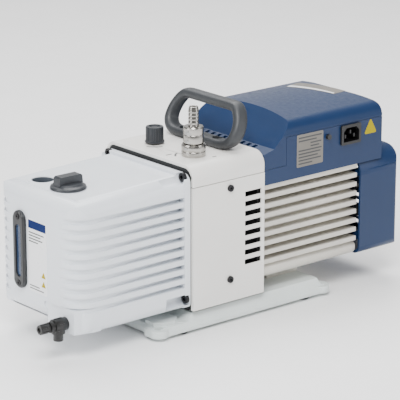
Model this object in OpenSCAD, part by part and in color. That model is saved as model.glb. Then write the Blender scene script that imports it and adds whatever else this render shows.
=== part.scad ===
// Rotary vane vacuum pump, two stages, direct driven by a finned motor.
// Frame: +X runs along the shaft from the oil case to the fan, +Z is up,
// the origin is on the surface the feet rest on, under the middle of the pump.

/* [Pump block] */
// Length of the pump block along the shaft
block_l = 100; // [98:1:102]
// Width of the pump block
block_w = 150; // [149:0.5:151]
// Height of the pump block over its own underside
block_h = 160; // [159:0.5:162]
// Radius of the long top edges of the block
block_r = 15; // [13:1:17]
// Height of the seam between the top casting and the side covers
cap_z = 137; // [135:1:139]
// Wall thickness of the top casting and the side covers
cover_t = 4; // [3.5:0.5:4.5]
// Height of the shaft axis over the underside of the block
axis_z = 74; // [73.5:0.5:74.5]
// Number of cooling slots in each side cover
slot_n = 8; // [5:1:8]
// Distance between two cooling slots
slot_pitch = 10.94; // [9:0.1:11]

/* [Oil case] */
// Length of the oil case, from the gasket to its end face
case_l = 148; // [147:1:149]
// Half width over the cooling ribs
case_hw = 71; // [70:0.5:71]
// Height of the top of the oil case at its end face
case_top = 144.5; // [144:0.5:145]
// Radius of the two upright corners of the end face
case_r = 24; // [22:1:25]
// Number of cooling ribs on each side
rib_n = 9; // [6:1:9]
// Distance between two cooling ribs
rib_pitch = 10.6; // [10:0.1:10.8]
// Thickness of a cooling rib
rib_t = 5.4; // [4.5:0.1:6]
// Depth of the grooves between the ribs at the flange
rib_depth = 9; // [6:0.5:10]
// Height of the oil window
window_h = 85; // [80:1:88]

/* [Pump module] */
// Radius of the bores of both stators
stator_r = 28; // [27.5:0.5:28.5]
// Distance between the stator bore axis and the shaft axis
ecc = 5; // [4.5:0.25:5.5]
// Length of the first stage rotor
stage1_l = 48; // [44:1:48]
// Length of the second stage rotor
stage2_l = 24; // [20:1:24]
// Thickness of a vane
vane_t = 3.94; // [3.9:0.01:3.96]

/* [Motor] */
// Length of the finned motor frame
frame_l = 141.5; // [140.5:0.5:142.5]
// Number of cooling fins on each side of the motor
fin_n = 9; // [8:1:9]
// Distance between two motor fins
fin_pitch = 10.6; // [10:0.1:10.8]
// Thickness of a motor fin
fin_t = 5; // [4:0.2:6]
// Number of blades of the cooling fan
blade_n = 9; // [5:1:11]
// Length of the fan cover
fan_cover_l = 59.5; // [58.5:0.5:60.5]

/* [Electrical housing] */
// Half width of the electrical housing
box_hw = 72; // [71.5:0.5:72.5]
// Height of the crown of the electrical housing
box_top = 189.5; // [189:0.5:191]
// Number of slots along the foot of the sloped front
vent_n = 10; // [6:1:12]

/* [Base] */
// Distance between the fixing holes along the shaft
hole_dx = 232; // [230:1:234]
// Distance between the fixing holes across the shaft
hole_dy = 136; // [134:1:138]
// Radius of the fixing holes
hole_r = 4.5; // [3.3:0.1:4.6]

/* [Hidden] */
$fn = 64;

case_x0 = -4 - case_l;
valve_x0 = case_x0 - 32;
fan_x0 = 104 + frame_l;
fan_x1 = fan_x0 + fan_cover_l;
ox = -(valve_x0 + fan_x1) / 2;
oz = 24;
hw = block_w / 2;
rib_z0 = 35.2;
rot_r = stator_r - ecc - 0.05;
s1_x1 = -2;
s1_x0 = s1_x1 - stage1_l;
mid_x0 = s1_x0 - 12;
s2_x0 = mid_x0 - stage2_l;
end_x0 = s2_x0 - 11;
hole_x0 = 74 - hole_dx / 2;
hole_x1 = 74 + hole_dx / 2;
valve_y = -49;
valve_z = 14.5;
inlet = [31, -38];
ballast = [30, 27];
filler = [-117, -12.5];
exhaust = [-118, 31];
seat_z = case_top + 1;
slope = 1.75;
bolt_yz = [[63.5, 148], [-63.5, 148], [67.5, 13.5], [-67.5, 13.5]];
fan_screw_z = [32.1, 106.3];
glass_y = 24.5;
grip_x = 73;
grip_y = 28;

// the parts are dimensioned from the front underside of the pump block
module place() { translate([ox, 0, oz]) children(); }
module xcyl(r, x0, x1, y = 0, z = 0) { translate([x0, y, z]) rotate([0, 90, 0]) cylinder(r = r, h = x1 - x0); }
module ycyl(r, y0, y1, x = 0, z = 0) { translate([x, y0, z]) rotate([-90, 0, 0]) cylinder(r = r, h = y1 - y0); }
module zcyl(r, z0, z1, x = 0, y = 0) { translate([x, y, z0]) cylinder(r = r, h = z1 - z0); }
module bx(x0, x1, y0, y1, z0, z1) { translate([x0, y0, z0]) cube([x1 - x0, y1 - y0, z1 - z0]); }
// a profile in Y and Z, drawn out along X
module ex(x0, x1) { translate([x0, 0, 0]) rotate([90, 0, 90]) linear_extrude(x1 - x0) children(); }
// a profile in X and Z, drawn out along Y
module ey(y0, y1) { translate([0, y1, 0]) rotate([90, 0, 0]) linear_extrude(y1 - y0) children(); }
// a rectangle with its two lower corners rounded by rb and its upper ones by rt
module rrect(a0, a1, b0, b1, rb, rt) {
  translate([a0 + rb, b0]) square([a1 - a0 - 2 * rb, rb + 0.01]);
  translate([a0, b0 + rb]) square([a1 - a0, b1 - b0 - rb - rt]);
  translate([a0 + rt, b1 - rt - 0.01]) square([a1 - a0 - 2 * rt, rt + 0.01]);
  for (a = [a0 + rb, a1 - rb]) translate([a, b0 + rb]) circle(r = rb);
  for (a = [a0 + rt, a1 - rt]) translate([a, b1 - rt]) circle(r = rt);
}
// a ring along X
module xring(ro, ri, x0, x1, y = 0, z = 0) { difference() { xcyl(ro, x0, x1, y, z); xcyl(ri, x0 - 1, x1 + 1, y, z); } }
// a socket head screw along +Z, its head seat at z = 0
module screw(rh, hh, rs, ls, rk) {
  difference() {
    union() { translate([0, 0, 0]) cylinder(r = rh, h = hh); translate([0, 0, -ls]) cylinder(r = rs, h = ls + 0.01); }
    translate([0, 0, hh * 0.4]) cylinder(r = rk, h = hh, $fn = 6);
  }
}

// ---------- base ----------
module base_plate() {
  place() color("#dde4e2") difference() {
    union() {
      difference() {
        intersection() {
          ex(-46, 193) polygon([[-76, -20], [76, -20], [76, -16], [68, -4], [-68, -4], [-76, -16]]);
          ey(-90, 90) polygon([[-46, -20], [193, -20], [193, -14], [189.5, -6], [186, -4], [3, -4], [-5, -11], [-43, -11], [-46, -15]]);
        }
        ey(-66, 66) polygon([[-41, -21], [188, -21], [188, -13], [184, -9], [3, -9], [-6, -15.5], [-41, -15.5]]);
      }
      for (x = [hole_x0, hole_x1], s = [-1, 1]) {
        zcyl(10.5, -20, -12, x, s * hole_dy / 2);
        bx(x - 10, x + 8, s * 62 - 6, s * 62 + 6, -20, -12);
      }
      for (x = [-9, 166], s = [-1, 1]) zcyl(8.5, -19, -10.5, x, s * 62);
      for (s = [-1, 1]) translate([-26, s * 52, -12]) rotate([0, 0, 22.5]) cylinder(r = 17.5, h = 4.5, $fn = 8);
      for (x = [30, 100]) bx(x, x + 4, -67, 67, -19, -8.5);
      for (y = [-30, 26]) bx(-42, 187, y, y + 4, -19, -15);
    }
    for (x = [hole_x0, hole_x1], s = [-1, 1]) zcyl(hole_r, -30, 0, x, s * hole_dy / 2);
    for (x = [-9, 166], s = [-1, 1]) { zcyl(4.05, -30, -12.1, x, s * 62); zcyl(10.4, -30, -19, x, s * 62); }
    for (x = [16, 84], s = [-1, 1]) zcyl(4.3, -30, 0, x, s * 50);
    for (x = [150, 176], s = [-1, 1]) zcyl(4.3, -30, 0, x, s * 20);
  }
}
module rubber_feet() {
  place() color("#1c1c1e") for (x = [-9, 166], s = [-1, 1]) {
    translate([x, s * 62, 0]) rotate_extrude() polygon([[0, -24], [9.2, -24], [10, -23], [10, -19.1], [0, -19.1]]);
    zcyl(4, -19.2, -12.4, x, s * 62);
  }
}
module base_screws() {
  place() color("#3a3a3c") {
    for (x = [16, 84], s = [-1, 1]) translate([x, s * 50, -9]) rotate([180, 0, 0]) screw(6.5, 6, 4, 16, 2.9);
    for (x = [150, 176], s = [-1, 1]) translate([x, s * 20, -9]) rotate([180, 0, 0]) screw(6.5, 6, 4, 16, 2.9);
  }
}

// ---------- pump block ----------
module pump_bracket() {
  bw = hw - cover_t - 0.2;
  bh = block_h - cover_t - 0.2;
  place() color("#8f9498") difference() {
    union() {
      ex(0.4, 14) rrect(-bw, bw, 0.4, bh, 2, block_r - cover_t);
      ex(93, block_l - 0.4) rrect(-bw, bw, 0.4, bh, 2, block_r - cover_t);
      bx(13, 94, -bw, bw, 0.4, 9);
      for (s = [-1, 1]) bx(45, 57, s > 0 ? bw - 9 : -bw, s > 0 ? bw : -bw + 9, 8, 143);
      for (x = [6, 74], s = [-1, 1]) bx(x, x + 20, s * 50 - 9, s * 50 + 9, -4, 1);
      for (s = [-1, 1]) bx(60, 94, s * grip_y - 7, s * grip_y + 7, 143, bh - 0.5);
    }
    xcyl(8.06, -1, 15, 0, axis_z);
    xcyl(14.05, 5, 15, 0, axis_z);
    xcyl(32.05, 92, 101, 0, axis_z);
    for (a = [45:90:315]) xcyl(3.05, -1, 9, 38.5 * cos(a), axis_z + 38.5 * sin(a));
    for (p = bolt_yz) xcyl(2.55, -1, 12, p[0], p[1]);
    for (x = [16, 84], s = [-1, 1]) zcyl(4.05, -5, 8, x, s * 50);
    for (s = [-1, 1], z = [25.5, 128]) ycyl(2.05, s > 0 ? bw - 8 : -bw - 1, s > 0 ? bw + 1 : -bw + 8, 51, z);
    for (a = [45:90:315]) xcyl(3.05, 92, 101, 48 * cos(a), axis_z + 48 * sin(a));
    for (s = [-1, 1]) zcyl(2.55, 144, 160, grip_x, s * grip_y);
  }
}
module top_cover() {
  place() color("#eeece8") difference() {
    union() {
      difference() {
        ex(0, block_l) intersection() {
          rrect(-hw, hw, 100, block_h, 2, block_r);
          translate([-100, cap_z]) square([200, 100]);
        }
        ex(-1, block_l + 1) rrect(-hw + cover_t, hw - cover_t, 90, block_h - cover_t, 2, block_r - cover_t);
      }
      zcyl(16, 138, block_h - 1, inlet[0], inlet[1]);
      zcyl(13, 138, block_h - 1, ballast[0], ballast[1]);
    }
    zcyl(9.1, 130, 170, inlet[0], inlet[1]);
    zcyl(7.1, 130, 170, ballast[0], ballast[1]);
    for (s = [-1, 1]) zcyl(2.8, 150, 170, grip_x, s * grip_y);
  }
}
module side_cover(s) {
  y0 = s > 0 ? hw - cover_t : -hw;
  difference() {
    bx(0, block_l, y0, y0 + cover_t, 0, cap_z - 0.5);
    for (i = [0:slot_n - 1]) bx(72.3, 95.5, y0 - 1, y0 + cover_t + 1, 37.2 + i * slot_pitch, 43.2 + i * slot_pitch);
    // thinner sheet behind the slots
    bx(70.5, 97.5, s > 0 ? y0 - 1 : y0 + 1.4, s > 0 ? hw - 1.4 : y0 + cover_t + 1, 33, 124);
    for (z = [25.5, 128]) ycyl(2.3, y0 - 1, y0 + cover_t + 1, 51, z);
  }
}
module side_cover_near() { place() color("#eeece8") side_cover(-1); }
module side_cover_far() { place() color("#eeece8") side_cover(1); }
module side_cover_screws() {
  place() color("#222224") for (s = [-1, 1], z = [25.5, 128])
    translate([51, s * hw, z]) rotate([s > 0 ? -90 : 90, 0, 0]) screw(3.8, 2.2, 2, 11, 1.6);
}
// closed loop, leaning towards the motor
module grip_line(p) { polygon(concat([for (q = p) q], [for (i = [len(p) - 1:-1:0]) [-p[i][0], p[i][1]]])); }
module carry_handle() {
  place() color("#3e4144") difference() {
    intersection() {
      ex(55, 105) difference() {
        grip_line([[42, 160], [52, 163], [58.5, 170], [61, 178], [60, 187], [55.5, 199], [51, 206], [44, 210.5]]);
        grip_line([[38, 170], [45, 173], [49.3, 179.5], [48.8, 187], [45, 195], [41, 199], [37, 199.8]]);
      }
      ey(-70, 70) polygon([[62, 160], [80, 160], [82, 168], [86, 180], [93, 194], [97, 205], [95, 210], [91, 211], [84, 210.5], [81.5, 208], [74, 190], [66, 172]]);
    }
    for (s = [-1, 1]) { zcyl(2.8, 150, 190, grip_x, s * grip_y); zcyl(5.6, 165, 190, grip_x, s * grip_y); }
  }
}
module handle_screws() {
  place() color("#303234") for (s = [-1, 1]) translate([grip_x, s * grip_y, 165]) screw(5, 3.6, 2.5, 19, 2.2);
}

// ---------- oil case ----------
module case_plan(h, r, x1) {
  translate([case_x0 + r, -h]) square([x1 - case_x0 - r, 2 * h]);
  translate([case_x0, -h + r]) square([r + 0.01, 2 * h - 2 * r]);
  for (s = [-1, 1]) translate([case_x0 + r, s * (h - r)]) circle(r = r);
}
module case_side() { // outline seen from the side
  rb = 26;
  translate([case_x0 + rb, 3]) square([-8 - case_x0 - rb, rb + 0.01]);
  translate([case_x0, 3 + rb]) square([-8 - case_x0, case_top - 3 - rb - 15]);
  translate([case_x0 + 15, 100]) square([-23 - case_x0, 60]);
  translate([case_x0 + rb, 3 + rb]) circle(r = rb);
  translate([case_x0 + 15, case_top - 14.98]) circle(r = 15);
}
// the case top climbs a little towards the flange
module case_section() {
  intersection() {
    ex(case_x0 - 1, -8) rrect(-case_hw, case_hw, 3, 190, 10, 2);
    translate([case_x0, 0, case_top]) rotate([0, -slope, 0]) translate([-case_x0, 0, -case_top]) ex(case_x0 - 20, 10) rrect(-case_hw, case_hw, -60, case_top, 2, 18);
  }
}
module oil_case() {
  ri = case_r + 3.5;
  place() color("#e4e7eb") difference() {
    union() {
      difference() {
        union() {
          // ribbed body
          intersection() {
            translate([0, 0, -1]) linear_extrude(170) case_plan(case_hw, case_r, -8);
            ey(-90, 90) case_side();
            case_section();
            union() {
              linear_extrude(160) {
                polygon([[-8, -case_hw + rib_depth], [-8, case_hw - rib_depth], [case_x0 + ri, case_hw - 1.5], [case_x0 + ri, -case_hw + 1.5]]);
                translate([case_x0, -case_hw + 1.5 + ri]) square([ri + 0.01, 2 * case_hw - 3 - 2 * ri]);
                for (s = [-1, 1]) translate([case_x0 + ri, s * (case_hw - 1.5 - ri)]) circle(r = ri);
              }
              for (i = [0:rib_n - 1]) bx(case_x0 - 1, -8, -80, 80, rib_z0 - rib_t / 2 + i * rib_pitch, rib_z0 + rib_t / 2 + i * rib_pitch);
              bx(case_x0 - 1, -8, -80, 80, rib_z0 - rib_t / 2 + rib_n * rib_pitch, 160);
              bx(case_x0 - 1, -8, -80, 80, 0, rib_z0 + rib_t / 2 - rib_pitch);
            }
          }
          // flange
          ex(-9, -1.6) rrect(-72, 72, 4, 152, 5, 10);
          // flat seat for the drain valve
          translate([0, 0, 5]) linear_extrude(26) polygon([[case_x0 + 1.5, -18], [case_x0 + 1.5, -64], [case_x0 + 22, -69.5], [case_x0 + 32, -69.5], [case_x0 + 32, -18]]);
        }
        // inside
        ex(case_x0 + 6, 1) rrect(-56, 56, 9, case_top - 5, 8, 14);
      }
      // bosses of the filler and of the exhaust port, with flat seats
      zcyl(19.6, 132.5, seat_z, filler[0], filler[1]);
      zcyl(16, 132.5, seat_z, exhaust[0], exhaust[1]);
    }
    zcyl(20, seat_z, seat_z + 5, filler[0], filler[1]);
    zcyl(16, seat_z, seat_z + 5, exhaust[0], exhaust[1]);
    zcyl(13.02, 120, 150, filler[0], filler[1]);
    zcyl(12, 120, 150, exhaust[0], exhaust[1]);
    // front of the drain seat
    bx(case_x0 - 5, case_x0 + 1.5, -80, -18, 0, 31);
    xcyl(4, case_x0 - 5, case_x0 + 1.5, -18, 27);
    xcyl(4.05, case_x0 - 5, case_x0 + 35, valve_y, valve_z);
    // scoops and holes for the flange bolts
    for (p = bolt_yz) { xcyl(7, -34, -3.2, p[0], p[1]); xcyl(2.7, -20, 0, p[0], p[1]); }
    // slot behind the oil window
    ex(case_x0 - 5, case_x0 + 10) rrect(glass_y - 4, glass_y + 4, 48, 105, 3.8, 3.8);
    for (z = [41, 114]) xcyl(1.6, case_x0 - 5, case_x0 + 5, glass_y, z);
  }
}
module case_gasket() {
  place() color("#26282a") difference() {
    ex(-1.6, 0.4) rrect(-70.8, 70.8, 6, 151.5, 4, 8);
    ex(-5, 1) rrect(-56, 56, 9, case_top - 5, 8, 14);
    for (p = bolt_yz) xcyl(2.7, -6, 2, p[0], p[1]);
  }
}
module case_bolts() {
  place() color("#19191b") for (p = bolt_yz)
    translate([-3.2, p[0], p[1]]) rotate([0, -90, 0]) screw(4.9, 3.6, 2.5, 14.7, 2.4);
}
module window_outline(d) { rrect(glass_y - 9.75 + d, glass_y + 9.75 - d, 77.5 - window_h / 2 + d, 77.5 + window_h / 2 - d, 9.7 - d, 9.7 - d); }
module sight_glass_frame() {
  place() color("#4a4e53") difference() {
    union() {
      ex(case_x0 - 3.4, case_x0) window_outline(0);
      ex(case_x0 - 4.5, case_x0) window_outline(1.2);
    }
    ex(case_x0 - 6, case_x0 + 1) rrect(glass_y - 4.6, glass_y + 4.6, 48, 105, 4.4, 4.4);
    ex(case_x0 - 2.4, case_x0 + 1) rrect(glass_y - 6.9, glass_y + 6.9, 45, 108, 5, 5);
    for (z = [41, 114]) { xcyl(1.7, case_x0 - 6, case_x0 + 1, glass_y, z); xcyl(3.1, case_x0 - 6, case_x0 - 3.4, glass_y, z); }
  }
}
module sight_glass() {
  place() color("#2b3a4c", 0.6) ex(case_x0 - 2.4, case_x0) rrect(glass_y - 6.8, glass_y + 6.8, 45.1, 107.9, 4.9, 4.9);
}
module sight_glass_screws() {
  place() color("#2c2e31") for (z = [41, 114]) translate([case_x0 - 3.4, glass_y, z]) rotate([0, -90, 0]) screw(3, 1.6, 1.5, 7, 1.3);
}
module front_label() {
  place() color("#f4f5f7") ex(case_x0 - 0.4, case_x0) rrect(-21, 12, 35.5, 115, 2, 2);
}
module oil_filler_cap() {
  place() color("#4b4f55") translate([filler[0], filler[1], seat_z]) {
    difference() {
      union() {
        rotate_extrude() polygon([[0, 0.4], [18.6, 0.4], [19.3, 1.2], [18.6, 3.2], [15.5, 4.8], [14, 6.2], [0, 6.2]]);
        intersection() {
          translate([-20, -5.5, 5]) cube([40, 11, 14]);
          rotate([90, 0, 0]) translate([0, 0, -10]) linear_extrude(20) polygon([[-15.5, 3], [15.5, 3], [14.5, 13], [12.5, 14.5], [-12.5, 14.5], [-14.5, 13]]);
        }
        zcyl(12.95, -8, 0.5);
      }
      zcyl(10, -9, -1);
    }
  }
}
module filler_seal() {
  place() color("#1a1a1a") translate([filler[0], filler[1], seat_z]) difference() {
    zcyl(16, 0, 0.4);
    zcyl(13.1, -1, 1);
  }
}
module drain_valve_body() {
  x = case_x0 + 1.5;
  place() color("#242321") difference() {
    union() {
      xcyl(4, x - 1, x + 14, valve_y, valve_z);
      xcyl(7, x - 4, x, valve_y, valve_z);
      xcyl(7.4, x - 16, x - 3.9, valve_y, valve_z);
      xcyl(5.8, x - 21, x - 15.9, valve_y, valve_z);
      for (a = [0:60:300]) translate([0, valve_y, valve_z]) rotate([a, 0, 0]) bx(x - 14.5, x - 5.5, -0.9, 0.9, 6, 8);
      zcyl(7.3, 6, valve_z, x - 9.5, valve_y);
      zcyl(5.3, -2, valve_z, x - 9.5, valve_y);
    }
    xcyl(2.55, x - 30, x - 8, valve_y, valve_z);
    xcyl(2, x - 9, x + 20, valve_y, valve_z);
    zcyl(3.2, -3, valve_z, x - 9.5, valve_y);
  }
}
module drain_valve_knob() {
  x = case_x0 + 1.5;
  place() color("#242321") {
    difference() {
      union() {
        xcyl(4.8, x - 33.5, x - 21.4, valve_y, valve_z);
        for (a = [0:60:300]) translate([0, valve_y, valve_z]) rotate([a, 0, 0]) bx(x - 32.5, x - 23, -0.8, 0.8, 4, 5.5);
      }
      xcyl(2.6, x - 35, x - 32, valve_y, valve_z);
    }
    xcyl(2.5, x - 21.5, x - 12, valve_y, valve_z);
  }
}

// ---------- gas ballast and inlet ----------
module gas_ballast_knob() {
  place() color("#33373a") translate([ballast[0], ballast[1], block_h]) {
    difference() {
      union() {
        zcyl(9.3, 2, 19);
        rotate_extrude() polygon([[0, 1.7], [10.8, 1.7], [10.8, 2.8], [9.2, 3.6], [0, 3.6]]);
        for (a = [0:15:345]) rotate([0, 0, a]) translate([8.9, -0.55, 3]) cube([0.95, 1.1, 15.2]);
      }
      zcyl(6.6, 18, 20);
      for (a = [0:120:240]) rotate([0, 0, a]) translate([3.6, -0.7, 10]) cube([2, 1.4, 10]);
    }
    zcyl(3, -16, 2.5);
  }
}
module gas_ballast_seat() {
  place() color("#b9a26a") translate([ballast[0], ballast[1], block_h]) difference() {
    union() { zcyl(7, -20, 0.6); zcyl(9.5, 0.2, 1.4); }
    zcyl(3.06, -17, 3);
    for (a = [0:90:270]) rotate([0, 0, a]) translate([4.4, -0.8, -21]) cube([1.5, 1.6, 25]);
  }
}
module inlet_body() {
  place() color("#c9c5bb") translate([inlet[0], inlet[1], block_h]) difference() {
    union() {
      zcyl(9, -20, 0.5);
      zcyl(13, 0, 12.4);
      zcyl(12.2, 12.3, 13.6);
      zcyl(7.5, 13.5, 17);
    }
    zcyl(5.5, -21, 20);
    rotate_extrude() polygon([[12.4, 6], [14, 5.2], [14, 6.8]]);
  }
}
module inlet_nut() {
  place() color("#cfcbc2") translate([inlet[0], inlet[1], block_h]) difference() {
    union() {
      rotate_extrude() polygon([[0, 14], [10.4, 14], [11, 14.8], [11, 31.4], [10.2, 32.6], [0, 32.6]]);
    }
    zcyl(8, 13, 28.5);
    zcyl(5.6, 20, 40);
    rotate_extrude() polygon([[10.5, 24], [12, 23.4], [12, 24.6]]);
  }
}
module hose_barb() {
  place() color("#d2cec4") translate([inlet[0], inlet[1], block_h]) difference() {
    union() {
      zcyl(7.4, 19, 28.4);
      zcyl(5.5, 28.3, 34);
      rotate_extrude() polygon([[0, 33.9], [5.2, 33.9], [5.2, 36], [6, 36], [5.2, 40], [6, 40], [5.2, 44], [6, 44], [5.2, 48], [6, 48], [4.9, 54], [0, 54]]);
    }
    zcyl(3.6, 18, 60);
  }
}
module inlet_o_ring() {
  place() color("#151515") translate([inlet[0], inlet[1], block_h]) difference() {
    zcyl(7.3, 17.05, 18.95);
    zcyl(4.5, 16, 20);
  }
}

// ---------- pump module ----------
module stator(x0, x1) {
  difference() {
    xcyl(45, x0, x1, 0, axis_z);
    xcyl(stator_r, x0 - 1, x1 + 1, 0, axis_z - ecc);
    bx(x0 - 1, x1 + 1, -30, 30, axis_z + 41, axis_z + 50);
    for (a = [45:90:315]) xcyl(3.2, x0 - 1, x1 + 1, 38.5 * cos(a), axis_z + 38.5 * sin(a));
    // exhaust port under the reed and the inlet port
    zcyl(2.5, axis_z + 15, axis_z + 50, (x0 + x1) / 2 + 4, 14);
    zcyl(3.5, axis_z + 15, axis_z + 50, (x0 + x1) / 2, -14);
  }
}
module stator_stage1() { place() color("#7d8084") stator(s1_x0, 0.3); }
module stator_stage2() { place() color("#7d8084") stator(s2_x0, mid_x0); }
module middle_plate() {
  place() color("#8a8d91") difference() {
    xcyl(45, mid_x0, s1_x0, 0, axis_z);
    xcyl(8.06, mid_x0 - 1, s1_x0 + 1, 0, axis_z);
    for (a = [45:90:315]) xcyl(3.2, mid_x0 - 1, s1_x0 + 1, 38.5 * cos(a), axis_z + 38.5 * sin(a));
  }
}
module end_plate() {
  place() color("#8a8d91") difference() {
    xcyl(45, end_x0, s2_x0, 0, axis_z);
    xcyl(8.06, end_x0 + 3, s2_x0 + 1, 0, axis_z);
    for (a = [45:90:315]) xcyl(3.2, end_x0 - 1, s2_x0 + 1, 38.5 * cos(a), axis_z + 38.5 * sin(a));
  }
}
module rotor(x0, x1) {
  difference() {
    xcyl(rot_r, x0 + 0.05, x1 - 0.05, 0, axis_z);
    xcyl(8.02, x0 - 1, x1 + 1, 0, axis_z);
    for (s = [-1, 1]) bx(x0 - 1, x1 + 1, s > 0 ? 10 : -30, s > 0 ? 30 : -10, axis_z - 2.01, axis_z + 2.01);
  }
}
module rotor_stage1() { place() color("#9a9da1") rotor(s1_x0, 0.2); }
module rotor_stage2() { place() color("#9a9da1") rotor(s2_x0, mid_x0); }
module vane(x0, x1, s) {
  intersection() {
    bx(x0 + 0.1, x1 - 0.1, s > 0 ? 10.3 : -30, s > 0 ? 30 : -10.3, axis_z - vane_t / 2, axis_z + vane_t / 2);
    xcyl(rot_r - 0.05, x0, x1, 0, axis_z);
  }
}
module vane_1a() { place() color("#5b4a34") vane(s1_x0, 0.2, 1); }
module vane_1b() { place() color("#5b4a34") vane(s1_x0, 0.2, -1); }
module vane_2a() { place() color("#5b4a34") vane(s2_x0, mid_x0, 1); }
module vane_2b() { place() color("#5b4a34") vane(s2_x0, mid_x0, -1); }
module reed(x0, x1) { bx(x0, x1, 9, 19, axis_z + 41.05, axis_z + 41.45); ycyl(0.5, 9, 19, x1, axis_z + 41.55); }
module exhaust_reed_1() { place() color("#b8bcc2") reed((s1_x0 + 0.3) / 2 - 9, (s1_x0 + 0.3) / 2 + 15); }
module exhaust_reed_2() { place() color("#b8bcc2") reed(s2_x0 + 2, mid_x0 - 2); }
module oil_baffle() {
  place() color("#a9adb1") difference() {
    union() {
      bx(end_x0 + 2, -6, -34, 34, axis_z + 54, axis_z + 55.5);
      for (s = [-1, 1]) bx(end_x0 + 2, -6, s > 0 ? 34 : -35.5, s > 0 ? 35.5 : -34, axis_z + 30.8, axis_z + 55.5);
      bx(-7.5, -6, -35, 35, axis_z + 50, axis_z + 55.5);
    }
    for (x = [end_x0 + 12:16:-20]) bx(x, x + 8, -22, 22, axis_z + 50, axis_z + 60);
  }
}
module module_bolts() {
  place() color("#55585c") for (a = [45:90:315])
    translate([end_x0, 38.5 * cos(a), axis_z + 38.5 * sin(a)]) rotate([0, -90, 0]) screw(4.9, 5, 3, 8 - end_x0, 2.4);
}
module shaft_seal() {
  place() color("#161616") difference() {
    xcyl(14, 5.1, 13.6, 0, axis_z);
    xcyl(8.05, 4, 15, 0, axis_z);
    xring(12, 9.5, 9, 15, 0, axis_z);
  }
}
module pump_shaft() {
  place() color("#b4b8bd") difference() {
    xcyl(8, end_x0 + 3.6, 40, 0, axis_z);
    bx(20, 41, -2, 2, axis_z + 5.5, axis_z + 9);
  }
}

// ---------- coupling ----------
module jaw_hub(x0, x1, xj, rb, a0) {
  difference() {
    union() {
      xcyl(20, x0, x1, 0, axis_z);
      intersection() {
        xring(20, 9.5, min(x1, xj) - 0.01, max(x1, xj), 0, axis_z);
        for (i = [0:2]) translate([0, 0, axis_z]) rotate([a0 + i * 120, 0, 0])
          ex(min(x1, xj) - 1, max(x1, xj) + 1) polygon([[0, 0], [30 * cos(24), 30 * sin(24)], [40, 0], [30 * cos(24), -30 * sin(24)]]);
      }
    }
    xcyl(rb, x0 - 1, x1 + 1, 0, axis_z);
  }
}
module coupling_hubs() {
  place() color("#84878b") {
    jaw_hub(20, 42, 53, 8.02, 0);
    translate([100, 0, 0]) mirror([1, 0, 0]) jaw_hub(20, 42, 53, 8.52, 60);
  }
}
module coupling_spider() {
  place() color("#a8322a") intersection() {
    xcyl(19.6, 42.4, 57.6, 0, axis_z);
    difference() {
      union() {
        xcyl(9, 42.4, 57.6, 0, axis_z);
        for (i = [0:5]) translate([0, 0, axis_z]) rotate([i * 60, 0, 0]) bx(43.5, 46.5 + 10, -0.9, 0.9, 0, 19);
      }
      xcyl(4, 42, 58, 0, axis_z);
    }
  }
}

// ---------- motor ----------
module motor_frame() {
  x1 = 101 + frame_l;
  place() color("#c4bfb4") difference() {
    union() {
      xcyl(60, 101, x1, 0, axis_z);
      ex(101, x1) rrect(-69, 69, 13, 26, 8, 3);
      for (i = [0:fin_n - 2]) bx(101, x1, -70, 70, 29.6 + i * fin_pitch, 29.6 + fin_t + i * fin_pitch);
      bx(101, x1, -70, 70, 114.4, 119.4);
      bx(140, 186, -34, 34, -4, 24);
    }
    xcyl(56.05, 100, x1 + 1, 0, axis_z);
    for (x = [150, 176], s = [-1, 1]) zcyl(4.05, -5, 8, x, s * 20);
    for (s = [-1, 1], z = fan_screw_z) xcyl(1.9, x1 - 14, x1 + 1, s * 62, z);
    // slot in the crown for the winding leads
    bx(128, 138, -12, 12, axis_z + 50, axis_z + 65);
  }
}
module motor_end_shields() {
  x1 = 101 + frame_l;
  place() color("#a5a7a8") {
    difference() {
      union() { xcyl(56, 101, 116, 0, axis_z); xcyl(32, 88, 101.1, 0, axis_z); for (a = [45:90:315]) xcyl(7, 99.6, 101.1, 48 * cos(a), axis_z + 48 * sin(a)); }
      xcyl(11, 87, 120, 0, axis_z);
      xcyl(20.02, 103, 117, 0, axis_z);
      xring(50, 26, 106, 117, 0, axis_z);
      for (a = [45:90:315]) xcyl(3.05, 99, 106, 48 * cos(a), axis_z + 48 * sin(a));
    }
    difference() {
      xcyl(56, x1 - 14, x1, 0, axis_z);
      xcyl(11, x1 - 15, x1 + 1, 0, axis_z);
      xcyl(20.02, x1 - 15, x1 - 2, 0, axis_z);
      xring(50, 26, x1 - 15, x1 - 5, 0, axis_z);
    }
  }
}
module motor_bearings() {
  x1 = 101 + frame_l;
  place() color("#c8ccd0") for (x = [103.5, x1 - 14.5]) {
    xring(20, 15.5, x, x + 12, 0, axis_z);
    xring(13, 8.54, x, x + 12, 0, axis_z);
    for (a = [0:45:315]) translate([x + 6, 14.25 * cos(a), axis_z + 14.25 * sin(a)]) sphere(r = 2.0, $fn = 24);
    xring(15.6, 12.9, x + 0.8, x + 1.6, 0, axis_z);
  }
}
module stator_core() {
  place() color("#6f6a66") difference() {
    xcyl(56, 134, 208, 0, axis_z);
    xcyl(33, 133, 209, 0, axis_z);
    for (a = [0:30:330]) translate([0, 0, axis_z]) rotate([a, 0, 0]) bx(133, 209, -2.5, 2.5, 36, 47);
  }
}
module stator_windings() {
  place() color("#b4652b") {
    for (x = [120, 208.2]) translate([x, 0, axis_z]) rotate([0, 90, 0]) rotate_extrude()
      polygon([[37, 0], [47, 0], [49, 3], [49, 10.8], [47, 13.6], [37, 13.6], [35, 10.8], [35, 3]]);
    for (a = [0:30:330]) translate([0, 0, axis_z]) rotate([a, 0, 0]) bx(133.5, 208.3, -2.1, 2.1, 37, 46);
  }
}
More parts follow.
